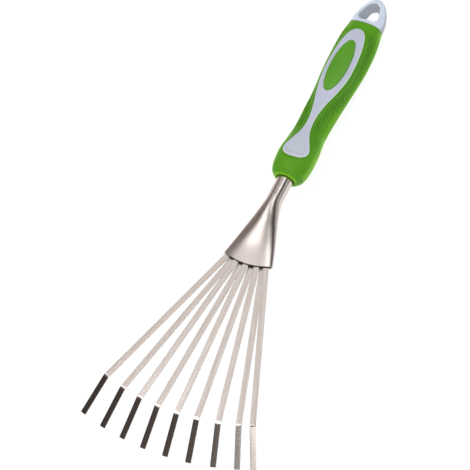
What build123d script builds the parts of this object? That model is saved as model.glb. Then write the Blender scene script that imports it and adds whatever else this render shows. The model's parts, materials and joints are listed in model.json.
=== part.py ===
from build123d import *
from math import atan, cos, pi, radians, sin, tan
import os

# Hand rake: nine flat spring tines in a flared steel ferrule, on a cushioned handle with a hang cap.
# Millimetres. +Z is up, the tines point along -Y, the hang cap along +Y. The rake lies on z = 0,
# on its tine tips and the underside of the grip. Distances "from the lip" run towards +Y.

# Tines
TINE_ANGLES = [-20.8, -15.4, -10.3, -5.2, 0.0, 5.2, 10.6, 15.7, 19.1]    # degrees, the fan is set by hand
TINE_WIDTH = 4.7
TINE_THICKNESS = 0.8
APEX_TO_ROOT = 34.0        # all tine distances are from the point where their lines meet
APEX_TO_LIP = 47.5
APEX_TO_BEND = 181.0
TIP_LENGTH = 34.0
TIP_ANGLE = 30.0
BEND_RADIUS = 7.0
TIP_CORNER = 0.6
ROW_OFFSET = 0.6           # odd tines lie in an upper row, even tines in a lower row
UPPER_ROW_ARCH = 0.9       # the upper row follows the crown of the lip
HEAD_PITCH = 1.7           # degrees, the tines fall this much towards their bends

# Ferrule: distance from the lip, height of the centre over the lip's, half width, half height, squareness
FERRULE_SECTIONS = [
    (-1.0, 0.0, 22.0, 3.4, 3.2),
    (16.0, 1.2, 17.2, 3.9, 2.8),
    (32.0, 3.4, 12.4, 4.9, 2.3),
    (45.0, 5.2, 8.7, 6.0, 2.1),
]
FERRULE_WALL = 0.9
NECK_START = 56.5
NECK_RISE = 6.0
NECK_DROP_ANGLE = 5.0
TUBE_DIAMETER = 12.8
NECK_TO_NOSE = 20.0
TANG_LENGTH = 40.0

# Grip: distance from the lip, height of the widest line, half width, rise above it, depth below it
GRIP_SECTIONS = [
    (76.5, 26.3, 9.5, 8.2, 9.0),
    (79.0, 26.2, 12.0, 10.0, 11.2),
    (83.5, 26.0, 13.8, 11.0, 12.8),
    (91.5, 25.8, 15.0, 11.4, 13.6),
    (102.5, 25.0, 15.2, 11.0, 13.6),
    (121.5, 21.8, 13.0, 11.2, 11.8),
    (143.5, 19.0, 13.3, 13.0, 12.2),
    (166.5, 16.4, 14.7, 14.2, 13.4),
    (190.5, 14.2, 16.3, 14.2, 13.9),
    (211.5, 12.6, 15.8, 12.6, 12.4),
    (227.5, 11.4, 13.6, 9.8, 10.2),
]
GRIP_SQUARENESS = 2.3
SKIN_THICKNESS = 2.6
CORE_SETBACK = 4.0         # the core starts this far behind the nose

# Top inlay and badge, seen from above: half width, distance from the lip (front to back)
INLAY_OUTLINE = [
    (0, 93.0),
    (7.0, 93.7),
    (10.6, 97.5),
    (9.4, 104.5),
    (5.2, 113.5),
    (2.6, 127.5),
    (4.4, 142.5),
    (8.4, 157.5),
    (11.6, 175.0),
    (11.4, 194.0),
    (8.2, 210.5),
    (0, 219.5),
]
BADGE_FRONT = 157.0
BADGE_BACK = 207.5
BADGE_HALF_WIDTH = 7.6
PRISM_BASE = 20.0
PRISM_HEIGHT = 60.0

# Hang cap, sections as the grip's; the eye is a rounded triangle seen from above
CAP_SECTIONS = [
    (227.5, 11.4, 13.6, 9.8, 10.2),
    (233.5, 10.9, 13.2, 9.0, 9.4),
    (240.5, 10.4, 11.6, 7.9, 8.2),
    (247.0, 10.0, 8.8, 6.6, 6.8),
    (252.0, 9.7, 5.2, 4.9, 5.0),
    (254.5, 9.5, 1.8, 2.2, 2.2),
]
EYE_OUTLINE = [
    (0, 231.0),
    (6.4, 231.4),
    (8.2, 234.0),
    (6.8, 240.5),
    (3.6, 247.5),
    (0, 249.5),
]
CAP_END = 254.5
EYE_CENTRE = 238.0
EYE_TOP = 22.0             # the eye narrows downwards from here
EYE_NARROWING = 0.76
SPIGOT_DIAMETER = 11.0
SPIGOT_LENGTH = 13.0
SOCKET_DEPTH = 14.0

# Hidden fasteners
PIN_DIAMETER = 4.0
PIN_LENGTH = 22.0
PIN_SETBACK = 22.0         # behind the nose
PLUG_FLANGE = 1.2
PLUG_DEPTH = 6.0

# Size of the blocks that trim a piece, well past its edges
TRIM_WIDTH = 80.0
TRIM_LENGTH = 40.0
TRIM_HEIGHT = 120.0

# The fan opens a little wider to the left, so the handle lies this far right of the middle
AXIS_X = 2.91
TIP_DROP = radians(TIP_ANGLE + HEAD_PITCH)
HEAD_REACH = APEX_TO_BEND + TIP_LENGTH * cos(TIP_DROP) - APEX_TO_LIP
LIP_Y = (HEAD_REACH - CAP_END) / 2
APEX_Y = LIP_Y + APEX_TO_LIP
BEND_Z = TIP_LENGTH * sin(TIP_DROP) + TINE_THICKNESS / 2 * cos(TIP_DROP)
LIP_Z = BEND_Z + (APEX_TO_BEND - APEX_TO_LIP) * tan(radians(HEAD_PITCH))


def oval(half_width, rise, depth, squareness, count=24):
    """Points of a closed oval whose upper and lower halves may differ in height."""
    points = []
    for step in range(count):
        turn = 2 * pi * step / count
        c = cos(turn)
        s = sin(turn)
        x = half_width * abs(c) ** (2 / squareness) * (1 if c >= 0 else -1)
        y = (rise if s >= 0 else depth) * abs(s) ** (2 / squareness) * (1 if s >= 0 else -1)
        points.append((x, y))
    return points


def tine_plane(number):
    """Upright plane of one tine: x runs outwards along the strip from the apex, y is up."""
    angle = radians(TINE_ANGLES[number - 1])
    widest = radians(max(abs(turn) for turn in TINE_ANGLES))
    if number % 2:
        height = LIP_Z + ROW_OFFSET + UPPER_ROW_ARCH * (1 - (angle / widest) ** 2)
    else:
        height = LIP_Z - ROW_OFFSET
    slope = (BEND_Z - height) / (APEX_TO_BEND - APEX_TO_LIP)
    outwards = Vector(sin(angle), -cos(angle), slope)
    sideways = Vector(-cos(angle), -sin(angle), 0)
    return Plane(origin=(0, APEX_Y, height - slope * APEX_TO_LIP), x_dir=outwards, z_dir=sideways)


def make_tine(number):
    """One flat strip, straight from its root to the bend, then turned down to its tip."""
    plane = tine_plane(number)
    fall = TIP_DROP + atan(plane.x_dir.Z / (1 - plane.x_dir.Z ** 2) ** 0.5)
    with BuildPart() as tine:
        with BuildLine(plane) as strip:
            FilletPolyline(
                (APEX_TO_ROOT, 0),
                (APEX_TO_BEND, 0),
                (APEX_TO_BEND + TIP_LENGTH * cos(fall), -TIP_LENGTH * sin(fall)),
                radius=BEND_RADIUS,
            )
        start = Plane(origin=strip.line @ 0, x_dir=plane.z_dir, z_dir=strip.line % 0)
        with BuildSketch(start):
            Rectangle(TINE_WIDTH, TINE_THICKNESS)
        sweep()
        tip = (tine.faces() | GeomType.PLANE).sort_by(Axis.Y)[0]
        fillet(tip.edges().sort_by(SortBy.LENGTH)[:2], radius=TIP_CORNER)
    return tine


def upright(distance, height):
    """Upright plane across the tool: x to the right, y up, facing the handle end."""
    return Plane(origin=(0, LIP_Y + distance, height), x_dir=(1, 0, 0), z_dir=(0, -1, 0))


def neck_plane(along=0.0):
    """Plane square to the tube's axis, that far behind its start, facing the tines."""
    tilt = radians(NECK_DROP_ANGLE)
    start = (0, LIP_Y + NECK_START, LIP_Z + NECK_RISE)
    return Plane(origin=start, x_dir=(1, 0, 0), z_dir=(0, -cos(tilt), sin(tilt))).offset(-along)


def flare(inset):
    """Flare from the flat mouth to the round tube, smaller all round by the inset."""
    with BuildPart() as solid:
        for distance, rise, half_width, half_height, squareness in FERRULE_SECTIONS:
            height = half_height - inset
            with BuildSketch(upright(distance, LIP_Z + rise)):
                with BuildLine():
                    Spline(*oval(half_width - inset, height, height, squareness), periodic=True)
                make_face()
        with BuildSketch(neck_plane()):
            Circle(TUBE_DIAMETER / 2 - inset)
        loft()
    return solid


def oval_loft(sections, inset=0.0):
    """Smooth body through upright oval sections, smaller all round by the inset."""
    with BuildPart() as solid:
        for distance, centre, half_width, rise, depth in sections:
            outline = oval(half_width - inset, rise - inset, depth - inset, GRIP_SQUARENESS)
            with BuildSketch(upright(distance, centre)):
                with BuildLine():
                    Spline(*outline, periodic=True)
                make_face()
        loft()
    return solid


def eye_space():
    """The space inside the cap's eye, narrower towards the floor."""
    with BuildPart() as solid:
        for height, share in ((0, EYE_NARROWING), (EYE_TOP, 1)):
            spots = [(x * share, EYE_CENTRE + (distance - EYE_CENTRE) * share) for x, distance in EYE_OUTLINE]
            right = [(x, LIP_Y + distance) for x, distance in spots]
            left = [(-x, y) for x, y in right[-2:0:-1]]
            with BuildSketch(Plane.XY.offset(height)):
                with BuildLine():
                    Spline(*(right + left), periodic=True)
                make_face()
        loft()
    return solid


def save(builder, name):
    """Set a finished piece on the handle's axis, label it and write it as its own STEP file."""
    piece = builder.part.moved(Location((AXIS_X, 0, 0)))
    piece.label = name
    export_step(piece, f"parts/{name}.step")
    print(f"{name}: {len(piece.solids())} solid(s), {piece.volume:.0f} mm3, valid {piece.is_valid}")


os.makedirs("parts", exist_ok=True)

for number in range(1, len(TINE_ANGLES) + 1):
    save(make_tine(number), f"tine_{number}")

tube_length = NECK_TO_NOSE + TANG_LENGTH
pin_centre = neck_plane(NECK_TO_NOSE + PIN_SETBACK).origin
pin_plane = Plane(origin=pin_centre, x_dir=(0, 1, 0), z_dir=(1, 0, 0))

with BuildPart() as ferrule:
    add(flare(0).part)
    with BuildSketch(neck_plane()):
        Circle(TUBE_DIAMETER / 2)
    extrude(amount=-tube_length)
    add(flare(FERRULE_WALL).part, mode=Mode.SUBTRACT)
    with BuildSketch(neck_plane()):
        Circle(TUBE_DIAMETER / 2 - FERRULE_WALL)
    extrude(amount=-tube_length, mode=Mode.SUBTRACT)
    with BuildSketch(Plane.XY):
        with Locations((0, APEX_Y - APEX_TO_LIP)):
            Rectangle(TRIM_WIDTH, TRIM_LENGTH)
        with Locations((0, APEX_Y)):
            Circle(APEX_TO_LIP, mode=Mode.SUBTRACT)
    extrude(amount=PRISM_HEIGHT, mode=Mode.SUBTRACT)
    with BuildSketch(pin_plane):
        Circle(PIN_DIAMETER / 2)
    extrude(amount=PIN_LENGTH / 2, both=True, mode=Mode.SUBTRACT)
save(ferrule, "ferrule")

with BuildPart() as tang_plug:
    with BuildSketch(neck_plane(tube_length)):
        Circle(TUBE_DIAMETER / 2)
    extrude(amount=-PLUG_FLANGE)
    with BuildSketch(neck_plane(tube_length)):
        Circle(TUBE_DIAMETER / 2 - FERRULE_WALL)
    extrude(amount=PLUG_DEPTH)
save(tang_plug, "tang_plug")

with BuildPart() as tang_pin:
    with BuildSketch(pin_plane):
        Circle(PIN_DIAMETER / 2)
    extrude(amount=PIN_LENGTH / 2, both=True)
save(tang_pin, "tang_pin")

outer = oval_loft(GRIP_SECTIONS)
grip_end, end_centre, end_half_width, end_rise, end_depth = GRIP_SECTIONS[-1]

with BuildPart() as tang_space:
    with BuildSketch(neck_plane()):
        Circle(TUBE_DIAMETER / 2)
    extrude(amount=-tube_length - PLUG_FLANGE)

with BuildPart() as core_blank:
    add(oval_loft(GRIP_SECTIONS, SKIN_THICKNESS).part)
    with BuildSketch(upright(GRIP_SECTIONS[0][0] + CORE_SETBACK, 0)):
        Rectangle(TRIM_WIDTH, TRIM_HEIGHT)
    extrude(amount=TRIM_LENGTH, mode=Mode.SUBTRACT)

with BuildPart() as handle_core:
    add(core_blank.part)
    add(tang_space.part, mode=Mode.SUBTRACT)
    add(tang_pin.part, mode=Mode.SUBTRACT)
    with BuildSketch(upright(grip_end, end_centre)):
        Circle(SPIGOT_DIAMETER / 2)
    extrude(amount=SOCKET_DEPTH, mode=Mode.SUBTRACT)
save(handle_core, "handle_core")

with BuildPart() as inlay_prism:
    with BuildSketch(Plane.XY.offset(PRISM_BASE)):
        with BuildLine():
            right = [(x, LIP_Y + distance) for x, distance in INLAY_OUTLINE]
            left = [(-x, y) for x, y in right[-2:0:-1]]
            Spline(*(right + left), periodic=True)
        make_face()
    extrude(amount=PRISM_HEIGHT)

with BuildPart() as badge_prism:
    with BuildSketch(Plane.XY.offset(PRISM_BASE)):
        with Locations((0, LIP_Y + (BADGE_FRONT + BADGE_BACK) / 2)):
            Ellipse(BADGE_HALF_WIDTH, (BADGE_BACK - BADGE_FRONT) / 2)
    extrude(amount=PRISM_HEIGHT)

with BuildPart() as soft_grip:
    add(outer.part)
    add(core_blank.part, mode=Mode.SUBTRACT)
    add(inlay_prism.part, mode=Mode.SUBTRACT)
    add(tang_space.part, mode=Mode.SUBTRACT)
save(soft_grip, "soft_grip")

with BuildPart() as top_inlay:
    add(outer.part)
    add(inlay_prism.part, mode=Mode.INTERSECT)
    add(core_blank.part, mode=Mode.SUBTRACT)
    add(badge_prism.part, mode=Mode.SUBTRACT)
save(top_inlay, "top_inlay")

with BuildPart() as badge:
    add(outer.part)
    add(badge_prism.part, mode=Mode.INTERSECT)
    add(core_blank.part, mode=Mode.SUBTRACT)
save(badge, "badge")

with BuildPart() as hang_cap:
    add(oval_loft(CAP_SECTIONS).part)
    add(eye_space().part, mode=Mode.SUBTRACT)
    with BuildSketch(upright(grip_end, end_centre)):
        Circle(SPIGOT_DIAMETER / 2)
    extrude(amount=SPIGOT_LENGTH)
save(hang_cap, "hang_cap")
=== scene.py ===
"""Hand rake: nine spring steel strips in a flared ferrule, on a cushioned handle with a hang cap.

Sizes in the classes are millimetres. "Distance" runs from the ferrule's lip towards the hang cap.
"""

import json
import logging
import math
from dataclasses import dataclass, field
from enum import Enum
from functools import cache

import bmesh
import bpy
from mathutils import Matrix, Vector
from mathutils.kdtree import KDTree

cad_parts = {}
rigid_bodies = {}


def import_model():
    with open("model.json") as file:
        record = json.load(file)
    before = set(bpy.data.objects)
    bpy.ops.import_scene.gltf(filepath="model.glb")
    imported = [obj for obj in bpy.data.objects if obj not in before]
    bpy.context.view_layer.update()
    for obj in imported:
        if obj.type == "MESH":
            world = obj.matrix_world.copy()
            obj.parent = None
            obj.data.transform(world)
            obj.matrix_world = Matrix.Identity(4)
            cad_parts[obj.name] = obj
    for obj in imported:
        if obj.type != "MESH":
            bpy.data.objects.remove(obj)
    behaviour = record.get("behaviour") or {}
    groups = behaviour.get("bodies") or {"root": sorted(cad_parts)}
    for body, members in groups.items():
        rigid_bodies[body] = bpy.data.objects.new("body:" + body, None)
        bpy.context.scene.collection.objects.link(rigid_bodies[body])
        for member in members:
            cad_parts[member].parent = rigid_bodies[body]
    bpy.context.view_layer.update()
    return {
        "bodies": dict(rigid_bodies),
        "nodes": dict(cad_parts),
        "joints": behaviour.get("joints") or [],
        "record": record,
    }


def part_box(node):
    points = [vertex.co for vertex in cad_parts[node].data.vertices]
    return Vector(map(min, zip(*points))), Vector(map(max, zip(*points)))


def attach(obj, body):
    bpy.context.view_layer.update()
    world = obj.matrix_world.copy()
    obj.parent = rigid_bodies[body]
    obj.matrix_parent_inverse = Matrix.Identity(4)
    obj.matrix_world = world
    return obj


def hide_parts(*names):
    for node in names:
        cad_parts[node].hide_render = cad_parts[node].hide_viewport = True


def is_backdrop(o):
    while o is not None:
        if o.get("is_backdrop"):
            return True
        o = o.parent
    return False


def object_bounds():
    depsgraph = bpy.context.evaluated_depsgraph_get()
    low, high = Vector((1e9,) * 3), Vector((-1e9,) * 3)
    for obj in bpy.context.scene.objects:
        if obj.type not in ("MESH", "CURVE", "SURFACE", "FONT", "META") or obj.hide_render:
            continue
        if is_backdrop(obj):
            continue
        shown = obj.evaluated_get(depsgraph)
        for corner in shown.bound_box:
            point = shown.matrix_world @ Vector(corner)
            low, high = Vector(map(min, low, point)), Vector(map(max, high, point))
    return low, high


MM = 0.001
LOG = logging.getLogger("hand_rake")

Colour = tuple[float, float, float, float]
Section = tuple[float, ...]


def rgb(red: float, green: float, blue: float) -> Colour:
    """Return an opaque linear colour."""
    return (red, green, blue, 1.0)


def smoothstep(low: float, high: float, value: float) -> float:
    """Rise smoothly from 0 at low to 1 at high.

    Args:
        low: Where the rise starts.
        high: Where the rise ends.
        value: Where it is read.

    Returns:
        A number from 0 to 1.
    """
    part = min(1.0, max(0.0, (value - low) / (high - low)))
    return part * part * (3.0 - 2.0 * part)


def flow(stations: list[Section], step: float, closed: bool = False) -> list[Section]:
    """Draw a smooth line through stations, each a tuple of numbers.

    Args:
        stations: The tuples that the line passes through.
        step: The longest gap between two results, measured over the first three numbers.
        closed: Whether the line returns to its first station.

    Returns:
        The dense list of tuples, its first station first.
    """
    count = len(stations)
    spans = count if closed else count - 1

    def station(index: int) -> Section:
        """Return a station, counted round a closed line."""
        return stations[index % count] if closed else stations[max(0, min(count - 1, index))]

    def gap(first: Section, second: Section) -> float:
        """Return the distance between two stations."""
        return max(1e-6, math.dist(first[:3], second[:3]))

    dense: list[Section] = []
    for span in range(spans):
        before, start, end, after = (station(span + shift) for shift in (-1, 0, 1, 2))
        length = gap(start, end)
        leading = gap(before, start) if before != start else length
        trailing = gap(end, after) if end != after else length
        steps = max(1, math.ceil(length / step))
        for part in range(steps):
            t = part / steps
            blended = []
            for b, s, e, a in zip(before, start, end, after):
                leave = (s - b) / leading * length + (e - s) * leading / length
                leave = leave / (leading + length) * length
                reach = (e - s) * trailing / length + (a - e) / trailing * length
                reach = reach / (trailing + length) * length
                cubic = 2 * t**3 - 3 * t**2
                value = (cubic + 1) * s + (t**3 - 2 * t**2 + t) * leave
                blended.append(value - cubic * e + (t**3 - t**2) * reach)
            dense.append(tuple(blended))
    if not closed:
        dense.append(stations[-1])
    return dense


def read(table: list[Section], distance: float) -> Section:
    """Find the section at a distance.

    Args:
        table: Dense sections, each led by its distance.
        distance: Where the section is wanted.

    Returns:
        The section, between the two nearest in the table.
    """
    for first, second in zip(table, table[1:]):
        if distance <= second[0]:
            part = max(0.0, (distance - first[0]) / max(1e-9, second[0] - first[0]))
            return tuple(a + (b - a) * part for a, b in zip(first, second))
    return table[-1]


def squared(value: float, squareness: float) -> float:
    """Push a sine or a cosine outwards, so that a circle becomes a squarer ring."""
    return math.copysign(abs(value) ** (2 / squareness), value)


def arch(across: float, squareness: float) -> float:
    """Return the share of its height that a squared ring has at a share of its half width."""
    return (1.0 - min(1.0, across) ** squareness) ** (1 / squareness)


@dataclass(frozen=True)
class Layout:
    """Where the handle's axis and the ferrule's lip lie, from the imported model."""

    axis_x: float
    lip_y: float
    lip_z: float

    @classmethod
    def from_frame(cls) -> "Layout":
        """Find the lip from the tang pin, which crosses the tube at a known place.

        Returns:
            The layout, in millimetres.
        """
        low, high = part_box("tang_pin")
        middle = (low + high) / 2 / MM
        tilt = math.radians(Ferrule.drop_angle)
        distance = Ferrule.neck_start + Ferrule.pin_along * math.cos(tilt)
        rise = Ferrule.neck_rise - Ferrule.pin_along * math.sin(tilt)
        return cls(middle.x, middle.y - distance, middle.z - rise)

    def place(self, x: float, distance: float, height: float) -> Vector:
        """Return the point in metres of millimetres across, back from the lip and up."""
        return Vector((self.axis_x + x, self.lip_y + distance, height)) * MM


class Wire:
    """A value that flows between a material's nodes, with Python's arithmetic."""

    def __init__(self, paint: "Paint", socket: bpy.types.NodeSocket) -> None:
        """Keep the socket and the paint that it belongs to."""
        self.paint = paint
        self.socket = socket

    def math(self, operation: str, first: "Wire | float", second: "Wire | float") -> "Wire":
        """Return the result of one Math node."""
        return self.paint.node("ShaderNodeMath", {"operation": operation}, {0: first, 1: second})

    def __add__(self, other: "Wire | float") -> "Wire":
        """Add."""
        return self.math("ADD", self, other)

    def __radd__(self, other: float) -> "Wire":
        """Add, the number first."""
        return self.math("ADD", other, self)

    def __mul__(self, other: "Wire | float") -> "Wire":
        """Multiply."""
        return self.math("MULTIPLY", self, other)

    def __rmul__(self, other: float) -> "Wire":
        """Multiply, the number first."""
        return self.math("MULTIPLY", other, self)


class Paint:
    """Builds one procedural material around a Principled shader."""

    def __init__(self, name: str) -> None:
        """Start an empty material of that name."""
        self.material = bpy.data.materials.new(name)
        self.material.use_nodes = True
        self.tree = self.material.node_tree
        self.tree.nodes.clear()
        self.shader = self.tree.nodes.new("ShaderNodeBsdfPrincipled")
        output = self.tree.nodes.new("ShaderNodeOutputMaterial")
        self.tree.links.new(self.shader.outputs[0], output.inputs["Surface"])

    def node(
        self,
        kind: str,
        settings: dict[str, object] | None = None,
        inputs: dict[str | int, object] | None = None,
        output: str | int = 0,
    ) -> Wire:
        """Add a node.

        Args:
            kind: The node's type.
            settings: Its properties.
            inputs: Its sockets' values, or the wires that reach them.
            output: The output that is wanted.

        Returns:
            The wire from that output.
        """
        made = self.tree.nodes.new(kind)
        for name, value in (settings or {}).items():
            setattr(made, name, value)
        for name, value in (inputs or {}).items():
            self.feed(made.inputs[name], value)
        return Wire(self, made.outputs[output])

    def feed(self, socket: bpy.types.NodeSocket, value: object) -> None:
        """Link a wire to a socket, or set the socket to a constant."""
        if isinstance(value, Wire):
            self.tree.links.new(value.socket, socket)
        else:
            socket.default_value = value

    def where(self, scale: tuple[float, float, float]) -> Wire:
        """Return the object's own coordinates, stretched by the scale."""
        place = self.node("ShaderNodeTexCoord", output="Object")
        return self.node("ShaderNodeMapping", inputs={"Vector": place, "Scale": scale})

    def along(self, layer: str, scale: tuple[float, float, float]) -> Wire:
        """Return the coordinates of a piece's own UV layer, stretched by the scale."""
        place = self.node("ShaderNodeUVMap", {"uv_map": layer})
        return self.node("ShaderNodeMapping", inputs={"Vector": place, "Scale": scale})

    def noise(self, place: Wire, detail: float = 2.0, roughness: float = 0.5) -> Wire:
        """Return a cloudy value from 0 to 1 at a scaled place."""
        values = {"Vector": place, "Scale": 1.0, "Detail": detail, "Roughness": roughness}
        return self.node("ShaderNodeTexNoise", inputs=values)

    def mask(self, name: str) -> Wire:
        """Return the number that a piece's vertices carry under that name."""
        return self.node("ShaderNodeAttribute", {"attribute_name": name}, output="Fac")

    def patches(self, place: Wire, detail: float, rough: float, low: float, high: float) -> Wire:
        """Return a noise stretched so that low becomes 0 and high becomes 1."""
        made = self.node("ShaderNodeValToRGB", inputs={"Fac": self.noise(place, detail, rough)})
        for stop, position in zip(made.socket.node.color_ramp.elements, (low, high)):
            stop.position = position
        return made

    def blend(self, factor: Wire, first: "Wire | Colour", second: "Wire | Colour") -> Wire:
        """Return a colour between two, by the factor."""
        settings = {"data_type": "RGBA", "clamp_factor": True}
        return self.node("ShaderNodeMix", settings, {0: factor, 6: first, 7: second}, output=2)

    def relief(self, height: Wire, depth: float, strength: float = 1.0) -> Wire:
        """Return the normal of a surface with that relief, its depth in metres."""
        values = {"Height": height, "Distance": depth, "Strength": strength}
        return self.node("ShaderNodeBump", inputs=values)

    def finish(self, **values: object) -> bpy.types.Material:
        """Set the shader's sockets, with underscores for spaces, and return the material."""
        for name, value in values.items():
            self.feed(self.shader.inputs[name.replace("_", " ")], value)
        return self.material


class Grain(Enum):
    """Which coordinates the brushing of a steel piece follows."""

    STRIP = "strip"
    LENGTHWISE = "lengthwise"


@dataclass(frozen=True)
class BrushedSteel:
    """Satin stainless steel, brushed along its length, a little scuffed at working ends."""

    name: str
    pale: Colour
    warm: Colour
    smoothness: float
    grain: Grain
    soil: Colour = (0.24, 0.19, 0.16, 1.0)
    soil_share: float = 0.55
    brush_depth: float = 0.000002

    @cache
    def material(self) -> bpy.types.Material:
        """Return the steel's material."""
        paint = Paint(self.name)
        if self.grain is Grain.STRIP:
            layer = self.grain.value
            fine = paint.noise(paint.along(layer, (2.2, 0.03, 1.0)), 2.0, 0.5)
            broad = paint.along(layer, (0.5, 0.035, 1.0))
            marks = paint.patches(paint.along(layer, (1.6, 0.9, 1.0)), 4.0, 0.7, 0.5, 0.66)
            worn = paint.mask("worn") * (0.35 + 0.65 * marks)
        else:
            fine = paint.noise(paint.where((2600.0, 60.0, 2600.0)), 3.0, 0.6)
            broad = paint.where((60.0, 18.0, 60.0))
            worn = 0.3 * paint.patches(paint.where((700.0, 260.0, 700.0)), 4.0, 0.7, 0.6, 0.72)
        colour = paint.blend(paint.patches(broad, 2.0, 0.5, 0.3, 0.7), self.pale, self.warm)
        return paint.finish(
            Base_Color=paint.blend(self.soil_share * worn, colour, self.soil),
            Metallic=1.0,
            Roughness=self.smoothness + 0.06 * fine + 0.05 * worn,
            Normal=paint.relief(fine, self.brush_depth, 0.12),
        )


@dataclass(frozen=True)
class SoftRubber:
    """Overmoulded rubber: satin, finely sparked and rubbed in random patches, with painted shade in
    its grooves and painted highlights on its crests.
    """

    name: str
    bright: Colour
    deep: Colour
    # The next colour is painted shade for the rib grooves, the valley beside the inlay and the seam
    # round it; the one after is a painted highlight for the rib crests, the widest line and the
    # nose collar.
    painted_shade: Colour = (0.03, 0.125, 0.006, 1.0)
    crest: Colour = (0.16, 0.42, 0.004, 1.0)
    handled: Colour = (0.16, 0.42, 0.02, 1.0)
    sheen: Colour = (0.5, 1.0, 0.01, 1.0)
    skin_depth: float = 0.00003

    @cache
    def material(self) -> bpy.types.Material:
        """Return the rubber's material, which reads how far a spot lies in a groove: painted shade
        where the mark is positive, a painted highlight where it is negative.
        """
        paint = Paint(self.name)
        skin = paint.noise(paint.where((2600.0, 2600.0, 2600.0)), 2.0, 0.6)
        broad = paint.patches(paint.where((55.0, 32.0, 55.0)), 3.0, 0.5, 0.3, 0.7)
        tone = paint.blend(broad, self.bright, self.deep)
        groove = paint.mask("groove")
        # Painted shade towards the groove mark's positive end, a painted highlight towards its
        # negative end.
        grooved = paint.blend(0.5 * groove, tone, self.painted_shade)
        raised = paint.blend(-1.0 * groove, grooved, self.crest)
        rubbed = paint.patches(paint.where((180.0, 120.0, 180.0)), 4.0, 0.65, 0.55, 0.72)
        return paint.finish(
            Base_Color=paint.blend(0.12 * rubbed, raised, self.handled),
            Roughness=0.36 + 0.12 * skin + 0.12 * rubbed,
            Normal=paint.relief(skin, self.skin_depth, 0.35),
            Specular_IOR_Level=0.22,
            Sheen_Weight=1.0,
            Sheen_Roughness=0.28,
            Sheen_Tint=self.sheen,
        )


@dataclass(frozen=True)
class MouldedPlastic:
    """Hard moulded plastic with a fine sparked skin, light rubbing and faint flow marks."""

    name: str
    base: Colour
    shade: Colour
    smoothness: float
    # Painted colours: the first darkens hollows as painted shade; the second is painted along the
    # rim and sides, a highlight on the inlay and shade on the badge and the cap.
    hollow_shade: Colour = (0.05, 0.05, 0.05, 1.0)
    edge: Colour = (0.2, 0.2, 0.2, 1.0)
    scratch: Colour = (0.78, 0.79, 0.8, 1.0)
    skin_depth: float = 0.00002

    @cache
    def material(self) -> bpy.types.Material:
        """Return the plastic's material, with painted shade where it is hollowed and a painted tone
        along its rim.
        """
        paint = Paint(self.name)
        skin = paint.noise(paint.where((3000.0, 3000.0, 3000.0)), 2.0, 0.55)
        flow_marks = paint.patches(paint.where((75.0, 24.0, 75.0)), 3.0, 0.6, 0.32, 0.68)
        tone = paint.blend(flow_marks, self.base, self.shade)
        rubbed = paint.patches(paint.where((420.0, 160.0, 420.0)), 4.0, 0.7, 0.58, 0.74)
        tint = paint.mask("tint")
        # Painted shade where the tint mark is positive, the painted rim tone where it is negative.
        seated = paint.blend(tint, tone, self.hollow_shade)
        edged = paint.blend(-1.0 * tint, seated, self.edge)
        return paint.finish(
            Base_Color=paint.blend(0.05 * rubbed, edged, self.scratch),
            Roughness=self.smoothness + 0.08 * skin + 0.12 * rubbed,
            Normal=paint.relief(skin, self.skin_depth, 0.3),
        )


Finish = BrushedSteel | SoftRubber | MouldedPlastic

TINE_STEEL = BrushedSteel(
    "tine_steel", rgb(0.73, 0.68, 0.65), rgb(0.63, 0.56, 0.52), 0.2, Grain.STRIP
)
FERRULE_STEEL = BrushedSteel(
    "ferrule_steel", rgb(0.74, 0.68, 0.65), rgb(0.60, 0.52, 0.48), 0.27, Grain.LENGTHWISE
)
PIN_STEEL = BrushedSteel(
    "pin_steel", rgb(0.68, 0.67, 0.66), rgb(0.6, 0.58, 0.56), 0.28, Grain.LENGTHWISE
)
GRIP_RUBBER = SoftRubber("grip_rubber", rgb(0.078, 0.275, 0.0015), rgb(0.058, 0.215, 0.003))
# The inlay's hollow colour is painted shade in the sunk thumb pad, and its pale edge colour a
# painted highlight along its rim.
INLAY_PLASTIC = MouldedPlastic(
    "inlay_plastic", rgb(0.41, 0.42, 0.54), rgb(0.37, 0.40, 0.47), 0.38,
    hollow_shade=rgb(0.385, 0.42, 0.47), edge=rgb(0.52, 0.60, 0.56),
)
# The badge's dark edge colour is painted shade along its rim.
BADGE_PLASTIC = MouldedPlastic(
    "badge_plastic", rgb(0.076, 0.275, 0.0012), rgb(0.06, 0.235, 0.002), 0.36,
    edge=rgb(0.05, 0.20, 0.01),
)
# The cap's hollow colour is painted shade on the wall of the eye, and its dark edge colour painted
# shade on the loop's outer sides.
CAP_PLASTIC = MouldedPlastic(
    "cap_plastic", rgb(0.54, 0.60, 0.70), rgb(0.46, 0.52, 0.62), 0.32,
    hollow_shade=rgb(0.42, 0.45, 0.50), edge=rgb(0.27, 0.29, 0.35),
)
CORE_PLASTIC = MouldedPlastic(
    "core_plastic", rgb(0.07, 0.07, 0.075), rgb(0.05, 0.05, 0.055), 0.42
)
PLUG_PLASTIC = MouldedPlastic(
    "plug_plastic", rgb(0.10, 0.10, 0.10), rgb(0.07, 0.07, 0.07), 0.4
)


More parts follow.
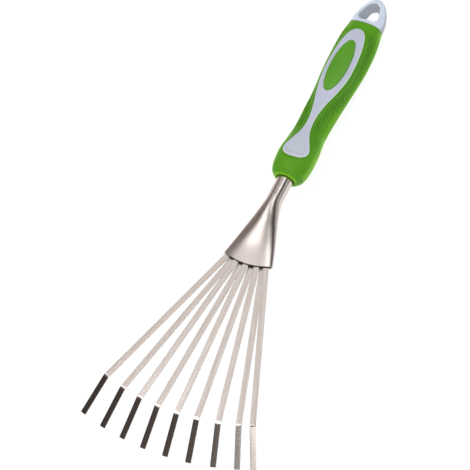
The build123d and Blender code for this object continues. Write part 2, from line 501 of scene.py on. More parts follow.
class Shape:
    """A mesh that grows from one ring of vertices, ring by ring."""

    def __init__(self, first: list[Vector], mark: str, marks: list[float]) -> None:
        """Start with one ring at the given points, whose vertices carry a mark.

        Args:
            first: The ring's points.
            mark: The mark's name, as a material reads it.
            marks: The mark of each point.
        """
        self.mesh = bmesh.new()
        self.layer = self.mesh.verts.layers.float.new(mark)
        made = bmesh.ops.create_circle(self.mesh, segments=len(first), radius=1.0)
        self.ring = list(made["verts"])
        self.put(first, marks)
        self.first = list(self.ring)

    def put(self, points: list[Vector], marks: list[float]) -> None:
        """Move the last ring's vertices to their points and give them their marks."""
        for vertex, point, mark in zip(self.ring, points, marks):
            vertex.co = point
            vertex[self.layer] = mark

    def edges(self, ring: list[bmesh.types.BMVert]) -> list[bmesh.types.BMEdge]:
        """Return the edges round a ring."""
        return [self.mesh.edges.get((ring[i - 1], ring[i])) for i in range(len(ring))]

    def grow(self, points: list[Vector], marks: list[float]) -> None:
        """Extrude the last ring to new points and marks, one for each of its vertices."""
        made = bmesh.ops.extrude_edge_only(self.mesh, edges=self.edges(self.ring))
        fresh = {item for item in made["geom"] if isinstance(item, bmesh.types.BMVert)}
        grown = []
        for vertex in self.ring:
            ends = (edge.other_vert(vertex) for edge in vertex.link_edges)
            grown.append(next(end for end in ends if end in fresh))
        self.ring = grown
        self.put(points, marks)

    def fill(self, ring: list[bmesh.types.BMVert]) -> None:
        """Close a ring with a face."""
        bmesh.ops.edgeloop_fill(self.mesh, edges=self.edges(ring))

    def settle(self, merge: float = 0.00001) -> None:
        """Merge doubles and turn every face outwards."""
        bmesh.ops.remove_doubles(self.mesh, verts=self.mesh.verts, dist=merge)
        bmesh.ops.recalc_face_normals(self.mesh, faces=self.mesh.faces)

    def turn_away_from(self, inside: list[Vector]) -> None:
        """Flip an open shell whose faces look at the points that should be inside it."""
        tree = KDTree(len(inside))
        for index, point in enumerate(inside):
            tree.insert(point, index)
        tree.balance()
        away = 0.0
        for face in self.mesh.faces:
            middle = face.calc_center_median()
            away += face.normal.dot(middle - tree.find(middle)[0]) * face.calc_area()
        if away < 0:
            bmesh.ops.reverse_faces(self.mesh, faces=self.mesh.faces)


def loft(
    rings: list[list[Vector]],
    closed: bool = False,
    mark: str = "mark",
    marks: list[list[float]] | None = None,
) -> Shape:
    """Skin a list of rings.

    Args:
        rings: Lists of the same number of points.
        closed: Whether the last ring joins the first.
        mark: The name of the number that each vertex carries.
        marks: Those numbers, ring by ring, or nothing for zeros.

    Returns:
        The skinned shape, not yet settled.
    """
    marks = marks or [[0.0] * len(rings[0])] * len(rings)
    shape = Shape(rings[0], mark, marks[0])
    for points, values in zip(rings[1:], marks[1:]):
        shape.grow(points, values)
    if closed:
        shape.grow(rings[0], marks[0])
    return shape


def add_object(name: str, data: bpy.types.ID) -> bpy.types.Object:
    """Put a new object with that data in the scene and return it."""
    made = bpy.data.objects.new(name, data)
    bpy.context.scene.collection.objects.link(made)
    return made


def add_mesh(name: str, mesh: bmesh.types.BMesh) -> bpy.types.Object:
    """Turn a bmesh into an object of the scene, free the bmesh and return the object."""
    data = bpy.data.meshes.new(name)
    mesh.to_mesh(data)
    mesh.free()
    return add_object(name, data)


def make_piece(name: str, mesh: bmesh.types.BMesh, finish: Finish, *nodes: str) -> bpy.types.Object:
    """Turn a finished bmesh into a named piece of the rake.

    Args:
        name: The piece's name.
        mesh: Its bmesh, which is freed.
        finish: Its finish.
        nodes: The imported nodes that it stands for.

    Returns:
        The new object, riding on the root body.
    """
    for face in mesh.faces:
        face.smooth = True
    piece = add_mesh(name, mesh)
    piece.data.materials.append(finish.material())
    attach(piece, "root")
    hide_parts(*nodes)
    LOG.info("%s stands for %s, %d faces", name, ", ".join(nodes), len(piece.data.polygons))
    return piece


def round_edges(piece: bpy.types.Object, width: float, angle: float) -> None:
    """Round a piece's edges by a width in millimetres, where they turn by more than the angle."""
    bevel = piece.modifiers.new("rounded", "BEVEL")
    bevel.width = width * MM
    bevel.segments = 3
    bevel.limit_method = "ANGLE"
    bevel.angle_limit = math.radians(angle)
    even_out(piece)


def even_out(piece: bpy.types.Object) -> None:
    """Let a piece's broad faces decide how its narrow ones are shaded."""
    piece.modifiers.new("even", "WEIGHTED_NORMAL").keep_sharp = True


def thicken(piece: bpy.types.Object, wall: float) -> None:
    """Give an open shell a wall of that many millimetres, on its inner side."""
    solid = piece.modifiers.new("wall", "SOLIDIFY")
    solid.thickness = wall * MM
    solid.offset = -1.0
    solid.use_even_offset = True
    solid.use_quality_normals = True


@dataclass
class TineFan:
    """Nine flat strips that spread from the ferrule and turn down at their ends."""

    layout: Layout
    angles: tuple[float, ...] = (-20.8, -15.4, -10.3, -5.2, 0.0, 5.2, 10.6, 15.7, 19.1)
    apex_to_lip: float = 47.5
    apex_to_bend: float = 181.0
    edge_rounding: float = 0.14
    edge_angle: float = 40.0
    wear_start: float = 8.0
    wear_length: float = 32.0

    def build(self, frame: dict) -> None:
        """Make every strip, left to right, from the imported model."""
        for number, angle in enumerate(self.angles, 1):
            self.strip(frame, number, angle)

    def strip(self, frame: dict, number: int, angle: float) -> None:
        """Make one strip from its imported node, with softened edges and a brushed direction.

        Args:
            frame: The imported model.
            number: The strip's number, from 1.
            angle: Its turn from the handle's axis, in degrees.
        """
        node = f"tine_{number}"
        mesh = bmesh.new()
        mesh.from_mesh(frame["nodes"][node].data)
        bmesh.ops.remove_doubles(mesh, verts=mesh.verts, dist=0.000002)
        bmesh.ops.dissolve_limit(
            mesh, angle_limit=math.radians(0.6), use_dissolve_boundaries=False,
            verts=mesh.verts, edges=mesh.edges, delimit=set(),
        )
        turned = math.radians(self.edge_angle)
        shared = [edge for edge in mesh.edges if len(edge.link_faces) == 2]
        bmesh.ops.bevel(
            mesh, geom=[edge for edge in shared if edge.calc_face_angle() > turned],
            offset=self.edge_rounding * MM, offset_type="OFFSET", segments=2,
            affect="EDGES", profile=0.5, material=-1, clamp_overlap=True,
        )
        bmesh.ops.recalc_face_normals(mesh, faces=mesh.faces)
        self.lay_grain(mesh, angle)
        even_out(make_piece(f"strip_{number}", mesh, TINE_STEEL, node))

    def lay_grain(self, mesh: bmesh.types.BMesh, angle: float) -> None:
        """Give a strip its own coordinates, across and along, and mark its worn end.

        Args:
            mesh: The strip.
            angle: The strip's turn from the handle's axis, in degrees.
        """
        turn = math.radians(angle)
        apex = Vector((self.layout.axis_x, self.layout.lip_y + self.apex_to_lip))
        outwards = Vector((math.sin(turn), -math.cos(turn)))
        across = Vector((math.cos(turn), math.sin(turn)))
        grain = mesh.loops.layers.uv.new(TINE_STEEL.grain.value)
        worn = mesh.verts.layers.float.new("worn")
        bend = self.apex_to_bend
        for vertex in mesh.verts:
            reach = (vertex.co.xy / MM - apex).dot(outwards)
            vertex[worn] = smoothstep(bend + self.wear_start, bend + self.wear_length, reach)
        for face in mesh.faces:
            for loop in face.loops:
                spot = loop.vert.co.xy / MM - apex
                loop[grain].uv = (spot.dot(across) + 0.3 * angle, spot.dot(outwards) + 17.0 * angle)


@dataclass
class Ferrule:
    """The flared steel head: a wide flat mouth that closes to a cranked round tube."""

    layout: Layout
    mouth: tuple[Section, ...] = (
        (-1.0, 0.0, 22.0, 3.4, 2.7),
        (16.0, 1.2, 17.2, 3.9, 2.4),
        (32.0, 3.4, 12.4, 4.9, 2.15),
        (45.0, 5.2, 8.7, 6.0, 2.1),
    )
    wall: float = 0.9
    neck_start: float = 56.5
    neck_rise: float = 6.0
    drop_angle: float = 5.0
    tube_radius: float = 6.4
    tube_stations: tuple[float, ...] = (0.0, 6.0, 14.0, 26.0, 42.0, 60.0)
    pin_along: float = 42.0
    lip_radius: float = TineFan.apex_to_lip
    lip_curve_length: float = 30.0
    edge_rounding: float = 0.22
    edge_angle: float = 50.0
    segments: int = 96
    table: list[Section] = field(init=False)

    def __post_init__(self) -> None:
        """Work out the dense sections, from the mouth down the sloping tube."""
        stations = list(self.mouth)
        radius = self.tube_radius
        for along in self.tube_stations:
            rise = self.neck_rise - along * math.sin(math.radians(self.drop_angle))
            stations.append((self.neck_start + along, rise, radius, radius, 2.0))
        self.table = flow(stations, 1.0)

    def build(self) -> None:
        """Make the ferrule, its lip curved about the strips' apex."""
        rings = []
        spine = []
        for section in self.table:
            distance = max(0.0, section[0])
            rings.append([self.point(distance, side) for side in range(self.segments)])
            spine.append(self.layout.place(0.0, distance + 3.0, self.layout.lip_z + section[1]))
        shape = loft(rings)
        shape.settle()
        shape.turn_away_from(spine)
        piece = make_piece("ferrule_shell", shape.mesh, FERRULE_STEEL, "ferrule")
        thicken(piece, self.wall)
        round_edges(piece, self.edge_rounding, self.edge_angle)

    def point(self, distance: float, side: int) -> Vector:
        """Find one point of the skin.

        Args:
            distance: How far back the ring is at the middle.
            side: The number of the point round the ring.

        Returns:
            The point, in metres.
        """
        turn = 2 * math.pi * side / self.segments
        c, s = math.cos(turn), math.sin(turn)
        fade = max(0.0, 1.0 - distance / self.lip_curve_length) ** 1.5
        back = distance
        for _ in range(4):
            _, rise, half_width, half_height, squareness = read(self.table, back)
            x = half_width * squared(c, squareness)
            recess = self.lip_radius - math.sqrt(self.lip_radius * self.lip_radius - x * x)
            back = distance + fade * recess
        height = self.layout.lip_z + rise + half_height * squared(s, squareness)
        return self.layout.place(x, back, height)


@dataclass(frozen=True)
class Outline:
    """A closed outline seen from above, symmetrical about the handle's axis."""

    half: tuple[tuple[float, float], ...]
    margin: float
    step: float = 0.6

    @classmethod
    def oval(cls, half_width: float, middle: float, reach: float, margin: float) -> "Outline":
        """Draw an oval.

        Args:
            half_width: Half its width.
            middle: How far its middle is from the lip.
            reach: Half its length.
            margin: How far its middle line stops short of its ends.

        Returns:
            The outline.
        """
        turns = [math.pi * part / 10 for part in range(11)]
        half = tuple((half_width * math.sin(t), middle - reach * math.cos(t)) for t in turns)
        return cls(half, margin)

    def points(self) -> list[tuple[float, float]]:
        """Return the outline's points, from its front end round to the right."""
        mirrored = [(-x, d, 0.0) for x, d in self.half[-2:0:-1]]
        whole = flow([(x, d, 0.0) for x, d in self.half] + mirrored, self.step, closed=True)
        return [(x, d) for x, d, _ in whole]

    def spine(self, distance: float) -> float:
        """Return the nearest place on the outline's middle line, clear of its ends."""
        return min(max(distance, self.half[0][1] + self.margin), self.half[-1][1] - self.margin)


class OutlineFinder:
    """Tells how far a spot lies inside or outside an outline."""

    def __init__(self, points: list[tuple[float, float]]) -> None:
        self.right = sorted((d, x) for x, d in points if x >= 0)
        self.tree = KDTree(len(points))
        for index, (x, d) in enumerate(points):
            self.tree.insert((x, d, 0.0), index)
        self.tree.balance()

    def inside(self, x: float, distance: float) -> float:
        """Return the distance to the outline, positive inside it and negative outside."""
        gap = self.tree.find((x, distance, 0.0))[2]
        for first, second in zip(self.right, self.right[1:]):
            if first[0] <= distance <= second[0]:
                part = (distance - first[0]) / max(1e-9, second[0] - first[0])
                return gap if abs(x) < first[1] + (second[1] - first[1]) * part else -gap
        return -gap


@dataclass(frozen=True)
class Cover:
    """A thin hard shell that lies over the soft grip."""

    piece: str
    node: str
    outline: Outline
    finish: MouldedPlastic
    proud: float
    rounding: float
    wall: float
    padded: bool = False


@dataclass
class Handle:
    """The soft grip with its top inlay and badge."""

    layout: Layout
    sections: tuple[Section, ...] = (
        (81.0, 26.1, 12.9, 10.5, 12.0),
        (83.5, 26.0, 13.8, 11.0, 12.8),
        (91.5, 25.55, 15.0, 11.25, 13.6),
        (102.5, 25.0, 15.2, 11.0, 13.6),
        (121.5, 21.8, 13.0, 11.2, 11.8),
        (143.5, 19.0, 13.3, 13.0, 12.2),
        (166.5, 16.4, 14.7, 14.2, 13.4),
        (190.5, 14.2, 16.3, 14.2, 13.9),
        (211.5, 12.6, 15.8, 12.6, 12.4),
        (227.0, 11.5, 13.7, 9.9, 10.3),
    )
    nose: tuple[Section, ...] = (
        (90.0, 25.4, 6.5, 6.5, 6.5),
        (78.6, 26.3, 6.8, 6.8, 6.8),
        (77.3, 26.3, 7.1, 7.1, 7.1),
        (76.5, 26.3, 7.7, 7.8, 7.7),
        (76.6, 26.3, 8.6, 8.7, 8.6),
        (77.2, 26.3, 9.6, 9.2, 9.5),
        (78.2, 26.3, 10.8, 8.9, 10.5),
        (79.3, 26.2, 11.9, 9.2, 11.3),
    )
    tail: tuple[Section, ...] = (
        (227.4, 11.45, 13.4, 9.6, 10.0),
        (227.4, 11.4, 12.6, 8.8, 9.2),
        (227.4, 11.4, 7.0, 5.0, 5.0),
    )
    squareness: float = 2.3
    bore_radius: float = 7.6
    bore_end: float = 100.0
    segments: int = 128

    rib_pitch: float = 3.2
    rib_depth: float = 1.0
    rib_lean: float = 0.55
    rib_sharpness: float = 1.4
    ribs_from: float = 118.0
    ribs_to: float = 222.0
    rib_fade_in: float = 8.0
    rib_fade_out: float = 6.0
    rib_clear_of_inlay: tuple[float, float] = (1.8, 4.2)
    rib_clear_underneath: tuple[float, float] = (3.0, 6.0)

    seat_depth: float = 1.8
    seat_lip: float = 0.3
    scoop_depth: float = 0.65
    scoop_gap: float = 4.8
    scoop_width: float = 2.6
    seam_gap: float = 1.1
    seam_width: float = 1.0
    # Where the painted highlight along the widest line starts and ends, as shares of the half
    # width.
    widest_highlight: tuple[float, float] = (0.9, 1.0)

    # Strengths of the painted shade in the valley and the seam beside the inlay, and of the painted
    # highlights on the rib crests, along the widest line and on the nose collar.
    scoop_shade: float = 0.5
    seam_shade: float = 0.55
    crest_highlight: float = 0.4
    rim_highlight: float = 0.5
    collar_highlight: float = 0.8
    collar_end: float = 80.0
    collar_widths: tuple[float, float] = (10.4, 8.8)

    inlay: Cover = Cover(
        "thumb_inlay",
        "top_inlay",
        Outline(
            (
                (0.0, 93.0), (3.6, 93.1), (7.0, 94.2), (9.7, 96.8), (10.5, 100.0), (9.2, 104.8),
                (7.0, 109.4), (5.0, 114.0), (3.2, 120.5), (2.6, 127.5), (3.0, 134.5), (4.4, 142.5),
                (8.1, 157.5), (10.9, 175.0), (11.1, 185.0), (10.6, 195.0), (9.6, 203.5),
                (8.0, 210.5), (6.0, 215.8), (3.2, 218.8), (0.0, 219.7),
            ),
            margin=8.0,
        ),
        INLAY_PLASTIC,
        proud=0.35,
        rounding=0.45,
        wall=1.0,
        padded=True,
    )
    badge: Cover = Cover(
        "badge_plate",
        "badge",
        Outline.oval(half_width=7.6, middle=182.25, reach=25.25, margin=5.0),
        BADGE_PLASTIC,
        proud=0.85,
        rounding=0.5,
        wall=0.8,
    )
    pad: Outline = Outline(
        (
            (0.0, 95.8), (4.6, 96.0), (7.3, 97.6), (7.6, 100.2), (5.8, 104.4), (3.2, 109.0),
            (0.0, 111.5),
        ),
        margin=4.0,
    )
    pad_drop: float = 0.7
    pad_slope: tuple[float, float] = (-0.3, 0.7)
    skirt_depth: float = 1.2
    rim_insets: tuple[float, ...] = (
        0.0, 0.08, 0.22, 0.42, 0.7, 1.2, 1.8, 2.3, 2.6, 2.9, 3.2, 3.6,
    )
    inner_shares: tuple[float, ...] = (0.12, 0.25, 0.4, 0.55, 0.7, 0.85, 1.0)
    # Where the painted edge tone fades out from the rim.
    rim_tint_widths: tuple[float, float] = (0.55, 0.2)

    table: list[Section] = field(init=False)
    finder: OutlineFinder = field(init=False)
    pad_finder: OutlineFinder = field(init=False)

    def __post_init__(self) -> None:
        """Work out the dense sections and the finders of the inlay and its pad."""
        self.table = flow(list(self.sections), 0.5)
        self.finder = OutlineFinder(self.inlay.outline.points())
        self.pad_finder = OutlineFinder(self.pad.points())

    def top(self, x: float, distance: float) -> float:
        """Return the height of the grip's upper skin at a spot seen from above."""
        _, centre, half_width, rise, _ = read(self.table, distance)
        return centre + rise * arch(abs(x) / half_width, self.squareness)

    def rib(self, x: float, distance: float, height: float, upper: bool) -> tuple[float, float]:
        """Find how far a spot lies in a groove and how far on a crest of the ribbing.

        Args:
            x: Millimetres from the axis.
            distance: Millimetres from the lip.
            height: How far the spot is above the grip's widest line.
            upper: Whether the spot is on the upper half of the grip.

        Returns:
            Its share of a groove and its share of a crest, each from 0 to 1.
        """
        reach = smoothstep(self.ribs_from, self.ribs_from + self.rib_fade_in, distance)
        reach *= 1.0 - smoothstep(self.ribs_to - self.rib_fade_out, self.ribs_to, distance)
        if upper:
            reach *= smoothstep(*self.rib_clear_of_inlay, -self.finder.inside(x, distance))
        else:
            reach *= smoothstep(*self.rib_clear_underneath, abs(x))
        travel = abs(x) - height
        phase = (distance + self.rib_lean * travel) / self.rib_pitch * 2 * math.pi
        dip = (0.5 + 0.5 * math.cos(phase)) ** self.rib_sharpness
        return reach * dip, reach * (1.0 - dip)

    def press(
        self, x: float, distance: float, height: float, upper: bool, half_width: float
    ) -> tuple[float, float]:
        """Find how deep the skin is pressed in at a spot, and its tint of painted shade and
        highlight.

        Args:
            x: Millimetres from the axis.
            distance: Millimetres from the lip.
            height: How far the spot is above the grip's widest line.
            upper: Whether the spot is on the upper half of the grip.
            half_width: Half the grip's width there.

        Returns:
            The depth in millimetres, and the tint, from 1 for painted shade to -1 for a painted
            highlight.
        """
        groove, crest = self.rib(x, distance, height, upper)
        sink = scoop = seam = 0.0
        if upper:
            inside = self.finder.inside(x, distance)
            sink = self.seat_depth * smoothstep(0.3, 1.4, inside)
            sink += self.seat_lip * smoothstep(-1.3, -0.2, inside)
            scoop = math.exp(-(((inside + self.scoop_gap) / self.scoop_width) ** 2))
            scoop *= smoothstep(96.0, 112.0, distance) * smoothstep(222.0, 208.0, distance)
            sink += self.scoop_depth * scoop
            seam = math.exp(-(((inside + self.seam_gap) / self.seam_width) ** 2))
        # Painted shade in the rib grooves, the valley and the seam; painted highlights on the rib
        # crests and along the widest line.
        tint = groove + self.scoop_shade * scoop + self.seam_shade * seam
        tint -= self.crest_highlight * crest * (1.0 - scoop)
        tint -= self.rim_highlight * smoothstep(*self.widest_highlight, abs(x) / half_width)
        return groove * self.rib_depth + sink, tint

    def grip_ring(self, section: Section) -> tuple[list[Vector], list[float]]:
        """Draw one ring of the skin.

        Args:
            section: The ring's distance, centre, half width, rise and depth.

        Returns:
            The ring's points and their tints.
        """
        distance, centre, half_width, rise, depth = section
        in_bore = half_width < self.bore_radius and distance < self.bore_end
        squareness = 2.0 if in_bore else self.squareness
        ring = []
        tints = []
        for side in range(self.segments):
            turn = 2 * math.pi * (side + 0.5) / self.segments
            c, s = math.cos(turn), math.sin(turn)
            x = half_width * squared(c, squareness)
            z = (rise if s > 0 else depth) * squared(s, squareness)
            tint = 0.0
            if self.sections[0][0] < distance <= self.sections[-1][0]:
                depth_in, tint = self.press(x, distance, z, s > 0, half_width)
                shrink = 1.0 - depth_in / max(6.0, math.hypot(x, z))
                x, z = x * shrink, z * shrink
            # A painted highlight on the upper crescent of the nose collar.
            elif distance < self.collar_end and s > 0:
                tint = -self.collar_highlight * smoothstep(*self.collar_widths, half_width)
            tints.append(tint)
            ring.append(self.layout.place(x, distance, centre + z))
        return ring, tints

    def build_grip(self) -> None:
        """Make the green soft grip, with its nose collar, ribs and the seat of the inlay."""
        front = flow(list(self.nose) + [self.sections[0]], 0.4)[:-1]
        back = flow([self.sections[-1]] + list(self.tail), 0.4)[1:]
        drawn = [self.grip_ring(section) for section in front + self.table + back]
        shape = loft([ring for ring, _ in drawn], mark="groove", marks=[row for _, row in drawn])
        shape.fill(shape.first)
        shape.fill(shape.ring)
        shape.settle()
        make_piece("grip_sleeve", shape.mesh, GRIP_RUBBER, "soft_grip")

    def cover_point(
        self, cover: Cover, spot: tuple[float, float], shares: tuple[float, float]
    ) -> tuple[Vector, float]:
        """Find one point of a shell over the grip.

        Args:
            cover: The shell.
            spot: A spot on its outline.
            shares: How far the point has gone in over the rim, and then over the middle.

        Returns:
            The point, in metres, and its tint.
        """
        x, distance = spot
        to_x, to_d = -x, cover.outline.spine(distance) - distance
        reach = max(0.001, math.hypot(to_x, to_d))
        deepest = min(self.rim_insets[-1], 0.6 * reach)
        gap = shares[0] * deepest + (reach - deepest) * shares[1]
        x, distance = x + to_x * gap / reach, distance + to_d * gap / reach
        rim = max(0.0, cover.rounding - gap)
        fall = cover.rounding - math.sqrt(max(0.0, cover.rounding * cover.rounding - rim * rim))
        sunk = 0.0
        if cover.padded:
            sunk = smoothstep(*self.pad_slope, self.pad_finder.inside(x, distance))
        height = self.top(x, distance) + cover.proud - fall - self.pad_drop * sunk
        # Painted shade in the sunk thumb pad, and the painted edge tone near the rim.
        tint = sunk - smoothstep(*self.rim_tint_widths, gap)
        return self.layout.place(x, distance, height), tint

    def build_cover(self, cover: Cover) -> None:
        """Make a thin shell over the grip, rounded along its rim."""
        place = self.layout.place
        edge = cover.outline.points()
        rings = [[place(x, d, self.top(x, d) - self.skirt_depth) for x, d in edge]]
        # The skirt under the rim takes the full painted edge tone.
        tints = [[-1.0] * len(edge)]
        steps = [(inset / self.rim_insets[-1], 0.0) for inset in self.rim_insets]
        steps += [(1.0, share) for share in self.inner_shares]
        for shares in steps:
            drawn = [self.cover_point(cover, spot, shares) for spot in edge]
            rings.append([point for point, _ in drawn])
            tints.append([tint for _, tint in drawn])
        shape = loft(rings, mark="tint", marks=tints)
        shape.settle(0.00002)
        shape.turn_away_from([place(0.0, d, read(self.table, d)[1]) for d in range(90, 224, 2)])
        thicken(make_piece(cover.piece, shape.mesh, cover.finish, cover.node), cover.wall)

    def build(self) -> None:
        """Make the grip, the inlay with its thumb pad, and the plain badge."""
        self.build_grip()
        self.build_cover(self.inlay)
        self.build_cover(self.badge)


@dataclass
class HangCap:
    """The end cap: a rounded loop with an eye for hanging, on a round spigot."""

    layout: Layout
    sections: tuple[Section, ...] = (
        (227.5, 11.4, 13.6, 9.8, 10.2),
        (233.5, 10.9, 13.2, 9.0, 9.4),
        (240.5, 10.4, 11.6, 7.9, 8.2),
        (247.0, 10.0, 8.8, 6.6, 6.8),
        (252.0, 9.7, 5.2, 4.9, 5.0),
        (254.0, 9.55, 2.4, 2.9, 2.9),
        (254.5, 9.5, 0.0, 1.2, 1.2),
    )
    eye: tuple[tuple[float, float], ...] = (
        (0.0, 231.0), (6.4, 231.4), (8.2, 234.0), (6.8, 240.5), (3.6, 247.5), (0.0, 249.5),
    )
    eye_centre: float = 238.0
    eye_top: float = 22.0
    narrowing: float = 0.76
    squareness: float = 2.3
    rim_radius: float = 1.1
    joint_radius: float = 0.35
    joint_angle: float = 60.0
    spigot_radius: float = 5.4
    spigot_length: float = 13.0
    spigot_overlap: float = 0.6
    spigot_sides: int = 48
    per_span: int = 40
    joint_points: int = 12
    slice_points: int = 12
    slice_crowding: float = 2.2
    rim_steps: int = 4
    # Painted shade: the negative tints darken the loop's outer sides, the positive ones the wall of
    # the eye.
    side_tints: tuple[float, ...] = (-0.9, -0.9, -0.9, -0.9, -0.7, -0.45, -0.2)
    eye_tints: tuple[float, ...] = (0.4, 0.9, 1.0)
    table: list[Section] = field(init=False)

    def __post_init__(self) -> None:
        """Work out the dense sections."""
        self.table = flow(list(self.sections), 0.4)

    def skin(self, x: float, distance: float, upper: bool) -> float:
        """Return the height of the cap's upper or lower skin at a spot seen from above."""
        _, centre, half_width, rise, depth = read(self.table, distance)
        reach = arch(abs(x) / max(0.001, half_width), self.squareness)
        return centre + rise * reach if upper else centre - depth * reach

    def spans(self, line: list[tuple[float, float]], corner: int) -> list[tuple[float, float]]:
        """Space points evenly on the four parts of a half outline and its mirror image.

        Args:
            line: The right half of an outline, front to back.
            corner: The number of the point at its front corner.

        Returns:
            The whole outline, the same number of points on each part.
        """
        def even(part: list[tuple[float, float]]) -> list[tuple[float, float]]:
            """Return evenly spaced points of a line, its last left out."""
            lengths = [0.0]
            for first, second in zip(part, part[1:]):
                lengths.append(lengths[-1] + math.dist(first, second))
            spaced = []
            index = 0
            for step in range(self.per_span):
                target = lengths[-1] * step / self.per_span
                while lengths[index + 1] < target:
                    index += 1
                share = (target - lengths[index]) / max(1e-9, lengths[index + 1] - lengths[index])
                (ax, ad), (bx, bd) = part[index], part[index + 1]
                spaced.append((ax + (bx - ax) * share, ad + (bd - ad) * share))
            return spaced

        front, side = line[: corner + 1], line[corner:]
        right = even(front) + even(side)
        left = [(-x, d) for x, d in even(side[::-1])] + [(-x, d) for x, d in even(front[::-1])]
        return right + left

    def build(self) -> None:
        """Make the cap."""
        whole = flow([(x, d, 0.0) for x, d in self.eye], 0.4)
        eye_line = [(max(0.0, x), d) for x, d, _ in whole]
        corner = max(range(len(eye_line)), key=lambda i: eye_line[i][0] - eye_line[i][1])
        inner = self.spans(eye_line, corner)
        side = [(max(0.0, section[2]), section[0]) for section in self.table]
        count = self.joint_points
        joint = [(side[0][0] * part / count, side[0][1]) for part in range(count)]
        outer = self.spans(joint + side, count)
        rings = [self.loop(near, far) for near, far in zip(inner, outer)]
        plain = self.slice_points + self.rim_steps + 1 - len(self.side_tints) - len(self.eye_tints)
        half = list(self.side_tints) + [0.0] * plain + list(self.eye_tints)
        shape = loft(rings, closed=True, mark="tint", marks=[half + half[::-1]] * len(rings))
        shape.settle(0.00003)
        self.add_spigot(shape.mesh)
        piece = make_piece("hang_loop", shape.mesh, CAP_PLASTIC, "hang_cap")
        round_edges(piece, self.joint_radius, self.joint_angle)

    def loop(self, near: tuple[float, float], far: tuple[float, float]) -> list[Vector]:
        """Draw one slice through the loop, from its eye out to its outer skin and back.

        Args:
            near: The spot on the eye.
            far: The matching spot on the outer outline.

        Returns:
            The slice's points, in order round it.
        """
        points = []
        for upper in (True, False):
            start = self.narrowed(near, self.skin(*near, upper))
            width = math.dist(start, far)
            radius = min(self.rim_radius, 0.4 * width)
            line = []
            for part in range(self.slice_points):
                crowded = (part / self.slice_points) ** self.slice_crowding
                line.append((1.0 - crowded * (1.0 - radius / width), 0.0))
            for step in range(self.rim_steps + 1):
                turn = math.pi / 2 * step / self.rim_steps
                line.append((radius * (1 - math.sin(turn)) / width, radius * (1 - math.cos(turn))))
            half = []
            for share, fall in line:
                x = start[0] + (far[0] - start[0]) * share
                d = start[1] + (far[1] - start[1]) * share
                height = self.skin(x, d, upper) + (-fall if upper else fall)
                half.append(self.layout.place(x, d, height))
            points += half if upper else half[::-1]
        return points

    def narrowed(self, spot: tuple[float, float], height: float) -> tuple[float, float]:
        """Return a spot of the eye's wall at a height, drawn in towards the eye's middle."""
        share = self.narrowing + (1.0 - self.narrowing) * height / self.eye_top
        return spot[0] * share, self.eye_centre + (spot[1] - self.eye_centre) * share

    def add_spigot(self, mesh: bmesh.types.BMesh) -> None:
        """Add the round spigot that seats in the handle's core."""
        front, centre = self.sections[0][0], self.sections[0][1]
        turned = Matrix.Rotation(math.pi / 2, 4, "X")
        back = front + self.spigot_overlap
        middle = self.layout.place(0.0, back - self.spigot_length / 2, centre)
        radius = self.spigot_radius * MM
        bmesh.ops.create_cone(
            mesh, cap_ends=True, segments=self.spigot_sides, radius1=radius, radius2=radius,
            depth=self.spigot_length * MM, matrix=Matrix.Translation(middle) @ turned,
        )


def dress_hidden_core(frame: dict) -> None:
    """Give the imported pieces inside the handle, which keep their shape, real finishes.

    Args:
        frame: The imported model.
    """
    finishes = {"handle_core": CORE_PLASTIC, "tang_plug": PLUG_PLASTIC, "tang_pin": PIN_STEEL}
    for name, finish in finishes.items():
        node = frame["nodes"][name]
        if node.material_slots:
            node.material_slots[0].material = finish.material()
        else:
            node.data.materials.append(finish.material())
        LOG.info("%s keeps its packed shape", name)


@dataclass(frozen=True)
class Softbox:
    """One soft light of the studio, aimed at the middle of the rake."""

    name: str
    towards: tuple[float, float, float]
    distance: float
    width: float
    height: float
    power: float
    colour: tuple[float, float, float] = (1.0, 1.0, 1.0)

    def build(self, target: Vector) -> None:
        """Hang the light, facing the target."""
        data = bpy.data.lights.new(self.name, "AREA")
        data.shape = "RECTANGLE"
        data.size = self.width
        data.size_y = self.height
        data.energy = self.power
        data.color = self.colour
        lamp = add_object(self.name, data)
        away = Vector(self.towards).normalized()
        lamp.location = target + away * self.distance
        lamp.rotation_euler = away.to_track_quat("Z", "Y").to_euler()


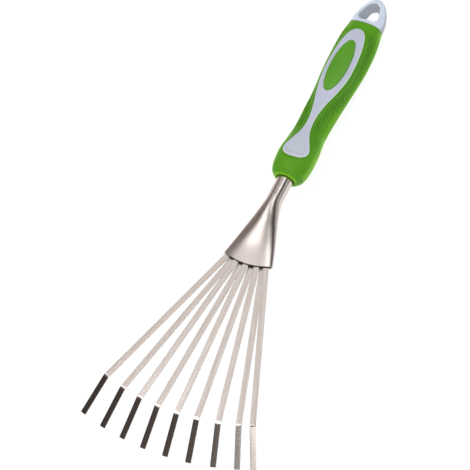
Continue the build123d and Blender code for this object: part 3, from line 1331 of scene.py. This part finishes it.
@dataclass
class Studio:
    """A pale floor, soft lights and a long lens."""

    azimuth: float = 38.0
    elevation: float = 59.0
    roll: float = 16.5
    aim: tuple[float, float, float] = (-11.7, -29.8, 14.9)
    distance: float = 8.0
    view_width: float = 0.3572
    sensor: float = 36.0
    floor_size: float = 6.0
    floor_tones: tuple[Colour, Colour] = (rgb(0.17, 0.17, 0.17), rgb(0.19, 0.19, 0.19))
    floor_glow: float = 0.86
    room_light: float = 0.78
    boxes: tuple[Softbox, ...] = (
        Softbox("key_box", (-0.31, 0.42, 0.86), 1.3, 0.56, 0.74, 1.2, (1.0, 0.965, 0.945)),
        Softbox("neck_box", (0.11, 0.42, 0.90), 1.3, 0.26, 0.9, 2.4),
        Softbox("bend_box", (-0.27, -0.14, 0.95), 1.4, 0.9, 0.22, 3.0),
        Softbox("left_box", (-0.85, 0.40, 0.42), 1.3, 1.0, 1.0, 1.0, (1.0, 0.84, 0.75)),
        Softbox("front_box", (0.385, -0.54, 0.78), 1.5, 1.0, 0.5, 5.2),
        Softbox("tip_fill", (-0.45, -0.62, 0.66), 1.5, 1.2, 0.8, 0.16, (1.0, 0.80, 0.70)),
        Softbox("right_box", (0.85, 0.42, 0.40), 1.3, 0.7, 0.5, 0.9),
        Softbox("low_front", (-0.08, -0.91, 0.42), 2.6, 3.0, 1.1, 3.4),
        Softbox("low_right", (0.76, -0.58, 0.28), 2.6, 1.6, 0.8, 1.5),
        Softbox("low_left", (-0.94, -0.18, 0.28), 2.6, 2.0, 0.8, 1.9),
        Softbox("low_back", (0.0, 0.97, 0.24), 2.6, 2.0, 0.7, 1.5),
    )

    def build(self) -> None:
        """Set up the floor, the surrounding light, the boxes and the camera."""
        scene = bpy.context.scene
        scene.view_settings.view_transform = "Standard"
        low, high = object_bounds()
        middle = (Vector(low) + Vector(high)) / 2
        self.lay_floor()
        self.surround()
        for box in self.boxes:
            box.build(middle)
        self.set_camera(middle)
        LOG.info("studio ready, %d soft boxes", len(self.boxes))

    def lay_floor(self) -> None:
        """Lay a pale matt floor at height 0."""
        mesh = bmesh.new()
        bmesh.ops.create_grid(mesh, x_segments=4, y_segments=4, size=self.floor_size / 2)
        floor = add_mesh("floor", mesh)
        paint = Paint("studio_floor")
        cloud = paint.noise(paint.where((3.0, 3.0, 3.0)), 2.0)
        finish = paint.finish(
            Base_Color=paint.blend(cloud, *self.floor_tones),
            Roughness=0.9,
            Specular_IOR_Level=0.1,
            Emission_Color=rgb(1.0, 1.0, 1.0),
            Emission_Strength=self.floor_glow,
        )
        floor.data.materials.append(finish)
        floor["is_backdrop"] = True

    def surround(self) -> None:
        """Fill the room with even light that gloss doesn't mirror."""
        world = bpy.data.worlds.new("room")
        world.use_nodes = True
        background = world.node_tree.nodes["Background"]
        background.inputs["Color"].default_value = rgb(1.0, 1.0, 1.0)
        background.inputs["Strength"].default_value = self.room_light
        bpy.context.scene.world = world
        world.cycles_visibility.glossy = False

    def set_camera(self, middle: Vector) -> None:
        """Set the camera over the rake's right front, turned a little about its own line of sight.

        Args:
            middle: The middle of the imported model.
        """
        azimuth, elevation = math.radians(self.azimuth), math.radians(self.elevation)
        roll = math.radians(self.roll)
        back = Vector((
            math.sin(azimuth) * math.cos(elevation),
            -math.cos(azimuth) * math.cos(elevation),
            math.sin(elevation),
        ))
        level = Vector((math.cos(azimuth), math.sin(azimuth), 0.0))
        upright = back.cross(level)
        right = level * math.cos(roll) - upright * math.sin(roll)
        up = level * math.sin(roll) + upright * math.cos(roll)
        data = bpy.data.cameras.new("camera")
        data.sensor_width = self.sensor
        data.lens = self.sensor * self.distance / self.view_width
        data.clip_start = 0.1
        data.clip_end = 60.0
        camera = add_object("camera", data)
        spot = middle + Vector(self.aim) * MM + back * self.distance
        turned = Matrix((right, up, back)).transposed().to_4x4()
        camera.matrix_world = Matrix.Translation(spot) @ turned
        bpy.context.scene.camera = camera


def main() -> None:
    """Build the rake, piece by piece, and its studio."""
    logging.basicConfig(level=logging.INFO, format="%(name)s: %(message)s")
    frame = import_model()
    Studio().build()
    layout = Layout.from_frame()
    TineFan(layout).build(frame)
    Ferrule(layout).build()
    Handle(layout).build()
    HangCap(layout).build()
    dress_hidden_core(frame)


if __name__ == "__main__":
    main()
